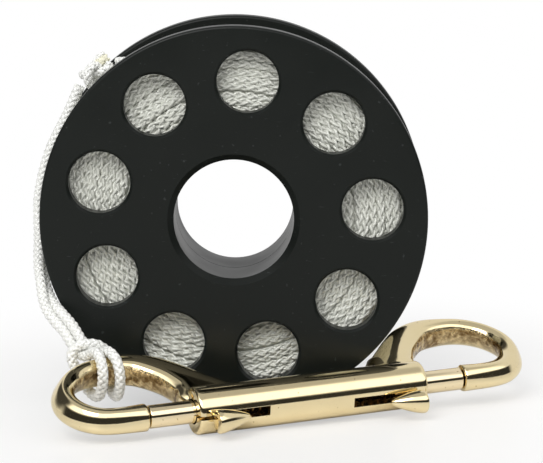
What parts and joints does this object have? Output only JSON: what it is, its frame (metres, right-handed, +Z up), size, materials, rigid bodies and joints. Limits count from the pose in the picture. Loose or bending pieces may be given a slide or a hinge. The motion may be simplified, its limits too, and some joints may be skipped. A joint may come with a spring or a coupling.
{
  "type": "finger spool with bolt snap",
  "caption": "Flanged line spool with a finger bore, line holes in both flanges, wound white line and a double-ended brass bolt snap hitched to the line's end loop.",
  "frame": {"origin": "on the ground, at the bottom centre of the spool and snap together, cords left out", "axes": "+Z up; the bore runs along Y with the snap lying in front, towards -Y; +X to the right"},
  "size_m": [0.1146, 0.0634, 0.089],
  "materials": {
    "acetal": "satin black moulded acetal",
    "nylon": "braided white nylon line",
    "cast_brass": "polished cast brass",
    "rod_brass": "polished drawn brass",
    "spring_steel": "bright stainless wire"
  },
  "bodies": {
    "clip": {"snap_body": "cast_brass", "left_spring": "spring_steel", "right_spring": "spring_steel", "line_leader": "nylon", "line_knot": "nylon", "line_tail": "nylon", "line_loop": "nylon"},
    "spool": {"front_half": "acetal", "rear_half": "acetal", "line_pack": "nylon", "line_top_layer": "nylon"},
    "left_gate": {"left_bolt": "rod_brass", "left_thumb_knob": "cast_brass"},
    "right_gate": {"right_bolt": "rod_brass", "right_thumb_knob": "cast_brass"}
  },
  "joints": [
    {"name": "spool_spin", "type": "hinge", "parent": "clip", "child": "spool", "pos_m": [-0.01149, 0.017, 0.0445], "axis": [0, 1, 0], "continuous": true},
    {"name": "left_gate_slide", "type": "slide", "parent": "clip", "child": "left_gate", "axis": [0.9269, 0.3745, 0.0244], "range_m": [0, 0.0102], "stiffness_N_per_m": 300, "springref_m": -0.006, "deforming": ["left_spring"]},
    {"name": "right_gate_slide", "type": "slide", "parent": "clip", "child": "right_gate", "axis": [-0.9269, -0.3745, -0.0244], "range_m": [0, 0.013], "stiffness_N_per_m": 300, "springref_m": -0.006, "deforming": ["right_spring"]}
  ]
}
